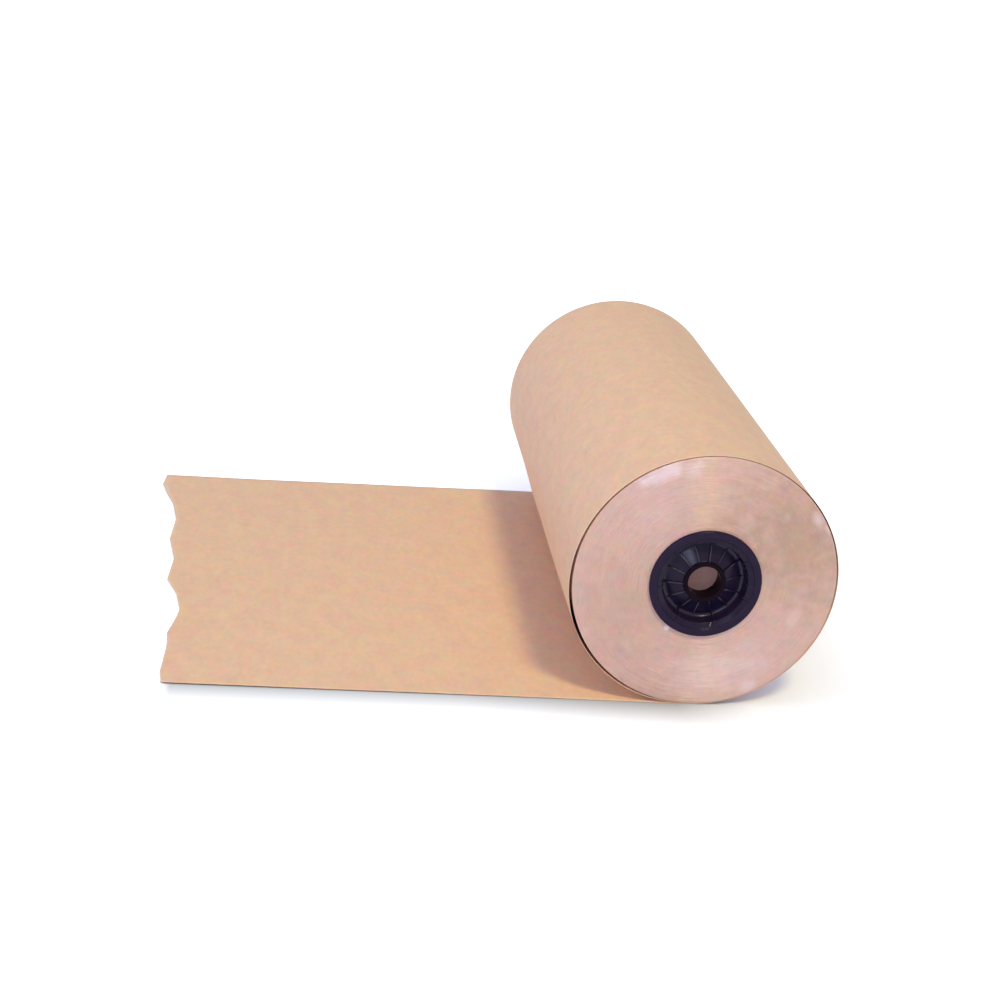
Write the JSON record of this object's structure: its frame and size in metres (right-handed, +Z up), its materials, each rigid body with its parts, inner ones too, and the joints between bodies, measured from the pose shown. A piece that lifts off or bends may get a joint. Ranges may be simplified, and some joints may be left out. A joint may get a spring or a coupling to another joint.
{
  "type": "wrapping paper roll",
  "caption": "Kraft wrapping paper roll on a board core with a plastic plug in each end, lying down with a torn length of sheet drawn off to one side.",
  "frame": {"origin": "on the table, straight below the middle of the roll's axis", "axes": "+Z up; Y along the roll's axis, with the near end facing -Y; the loose sheet lies towards -X"},
  "size_m": [0.605, 0.5148, 0.2288],
  "materials": {
    "kraft_sheet": "machine-glazed kraft",
    "kraft_lap": "machine-glazed kraft",
    "kraft_winding": "cut edges of wound paper",
    "core_board": "spiral-wound board",
    "plug_plastic": "glossy black moulding"
  },
  "bodies": {
    "drawn_paper": {"loose_sheet": "kraft_sheet", "outer_lap": "kraft_lap"},
    "roll": {"wound_paper": "kraft_winding", "core_tube": "core_board"},
    "near_plug": {"near_plug": "plug_plastic"},
    "far_plug": {"far_plug": "plug_plastic"}
  },
  "joints": [
    {"name": "roll_turn", "type": "hinge", "parent": "drawn_paper", "child": "roll", "pos_m": [0, 0, 0.1143], "axis": [0, 1, 0], "continuous": true},
    {"name": "near_plug_draw", "type": "slide", "parent": "roll", "child": "near_plug", "axis": [0, -1, 0], "range_m": [0, 0.06]},
    {"name": "far_plug_draw", "type": "slide", "parent": "roll", "child": "far_plug", "axis": [0, 1, 0], "range_m": [0, 0.06]}
  ]
}
